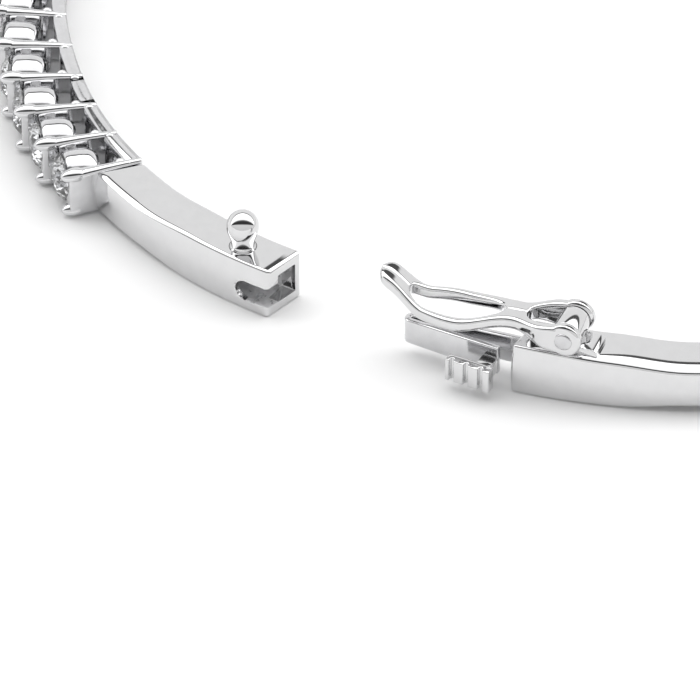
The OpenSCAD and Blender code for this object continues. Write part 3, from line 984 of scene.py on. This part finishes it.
def make_hinge_arm():
    shape = Shape()

    def section(s):
        return 0, BAND_T, MID_Z - BAND_H / 2, MID_Z + BAND_H / 2, 0.23, 0.12, 3.2

    start = HALF_ARC - bar_reach() + skew_shift(BAND_T)

    def slant(s):
        return math.tan(GALLERY_SKEW) * max(0, 1 - (s - start) / SKEW_REACH)

    sweep(shape, front_path, start, hinge_limit(), section, steps=6, crown=CROWN_LEAN, slant=slant)
    finish_piece("plain_hinge_arm", shape.mesh(), "front_half", ["hinge_arm"], POLISHED,
                 front=True)


# ---------------------------------------------------------------- main hinge
def knuckle(shape, z0, z1, side):
    """A round-edged knuckle and the plate that joins it to the arm on one side."""
    rim = 0.07
    place = Matrix.Translation((HINGE.x, 0, 0))
    bore = HINGE_PIN_R + 0.02
    ring = [
        (bore, z0), (BARREL_R - rim, z0), (BARREL_R, z0 + rim),
        (BARREL_R, z1 - rim), (BARREL_R - rim, z1), (bore, z1)]
    shape.lathe(ring, place, 64, closed=True)
    low, high = sorted((side * HINGE_FACE, side * BARREL_R * 0.6))
    block(shape, (-LEAF_HALF, low, z0), (LEAF_HALF, high, z1), place)


def make_hinge():
    back = Shape()
    knuckle(back, BARREL_Z0, MIDDLE_Z0 - KNUCKLE_GAP, -1)
    knuckle(back, MIDDLE_Z1 + KNUCKLE_GAP, BARREL_Z1, -1)
    finish_piece(
        "hinge_outer_knuckles", bevelled(back.mesh(), 0.03, 2, 60), "back_half", ["hinge_leaf_back"],
        POLISHED)
    front = Shape()
    knuckle(front, MIDDLE_Z0, MIDDLE_Z1, 1)
    finish_piece(
        "hinge_middle_knuckle", bevelled(front.mesh(), 0.03, 2, 60), "front_half", ["hinge_leaf_front"],
        POLISHED, front=True)
    low, high = box_mm("hinge_pin")
    head_r = (high.x - low.x) / 2
    dome = 0.1
    profile = [
        (0.01, low.z), (head_r * 0.7, low.z + 0.03), (head_r, low.z + dome), (HINGE_PIN_R, low.z + dome),
        (HINGE_PIN_R, high.z - dome), (head_r, high.z - dome), (head_r * 0.7, high.z - 0.03), (0.01, high.z)]
    pin = Shape()
    pin.lathe(profile, Matrix.Translation((HINGE.x, 0, 0)), 48)
    finish_piece("riveted_hinge_pin", pin.mesh(), "back_half", ["hinge_pin"], WIRE)


# ---------------------------------------------------------------- floor, light and camera
def make_floor():
    bpy.ops.mesh.primitive_plane_add(size=3, location=(0, 0, 0))
    floor = bpy.context.object
    floor.name = "floor"
    material, _, _, shader = new_material("pale_floor")
    shader.inputs["Base Color"].default_value = (0.93, 0.93, 0.93, 1)
    shader.inputs["Roughness"].default_value = 0.9
    shader.inputs["Specular IOR Level"].default_value = 0.1
    floor.data.materials.append(material)


# Studio tent over the object: brightness by the angle from the far horizon, over the top, to the near one.
# Long bright panels lie across the view, with dark gaps between them.
TENT = (
    (0, 1.0), (40.5, 1.0), (42.5, 0.1), (49, 0.1), (52, 2.4), (84, 2.4), (90, 1.5),
    (104, 1.45), (109, 0.25), (118, 0.05), (136, 0.05), (142, 0.9), (180, 0.8))
TENT_PEAK = 2.4


def make_sky(view_turn):
    """Lights the scene from a tent of panels that run across the view."""
    world = bpy.data.worlds.new("studio")
    bpy.context.scene.world = world
    world.use_nodes = True
    nodes, links = world.node_tree.nodes, world.node_tree.links
    direction = nodes.new("ShaderNodeTexCoord").outputs["Generated"]
    parts = []
    for axis in ((cos(view_turn), sin(view_turn), 0), (0, 0, 1)):
        along = nodes.new("ShaderNodeVectorMath")
        along.operation = "DOT_PRODUCT"
        along.inputs[1].default_value = axis
        links.new(direction, along.inputs[0])
        parts.append(along.outputs["Value"])
    angle = nodes.new("ShaderNodeMath")
    angle.operation = "ARCTAN2"
    links.new(parts[1], angle.inputs[0])
    links.new(parts[0], angle.inputs[1])
    share = nodes.new("ShaderNodeMapRange")
    share.inputs["From Max"].default_value = pi
    links.new(angle.outputs["Value"], share.inputs["Value"])
    panels = nodes.new("ShaderNodeValToRGB")
    elements = panels.color_ramp.elements
    while len(elements) < len(TENT):
        elements.new(0.5)
    for element, (turn, shade) in zip(elements, TENT):
        element.position = turn / 180
        element.color = (*(shade / TENT_PEAK,) * 3, 1)
    links.new(share.outputs["Result"], panels.inputs["Fac"])
    links.new(panels.outputs["Color"], nodes["Background"].inputs["Color"])
    nodes["Background"].inputs["Strength"].default_value = TENT_PEAK


VIEW_TURN = radians(20.37)
VIEW_RISE = radians(38.4)
VIEW_DISTANCE = 311.85
VIEW_TARGET = Vector((-30.905, 7.537, 0))
LENS = 363.1


def make_camera():
    data = bpy.data.cameras.new("camera")
    data.lens = LENS
    data.sensor_width = 36
    data.clip_start = 0.005
    camera = bpy.data.objects.new("camera", data)
    bpy.context.scene.collection.objects.link(camera)
    back = Vector((-cos(VIEW_TURN) * cos(VIEW_RISE), -sin(VIEW_TURN) * cos(VIEW_RISE), sin(VIEW_RISE)))
    camera.location = (VIEW_TARGET + back * VIEW_DISTANCE) * MM
    camera.rotation_euler = (-back).to_track_quat("-Z", "Y").to_euler()
    bpy.context.scene.camera = camera


make_camera()
make_floor()
make_sky(VIEW_TURN)
bpy.context.scene.view_settings.view_transform = "Standard"

make_back_band()
make_tongue_base()
make_spring_leaf()
make_thumb_pad()
make_safety_lug()
make_safety_lever()
make_safety_pin()
make_box_arm()
make_stud()
make_gallery()
make_stones()
make_hinge_arm()
make_hinge()
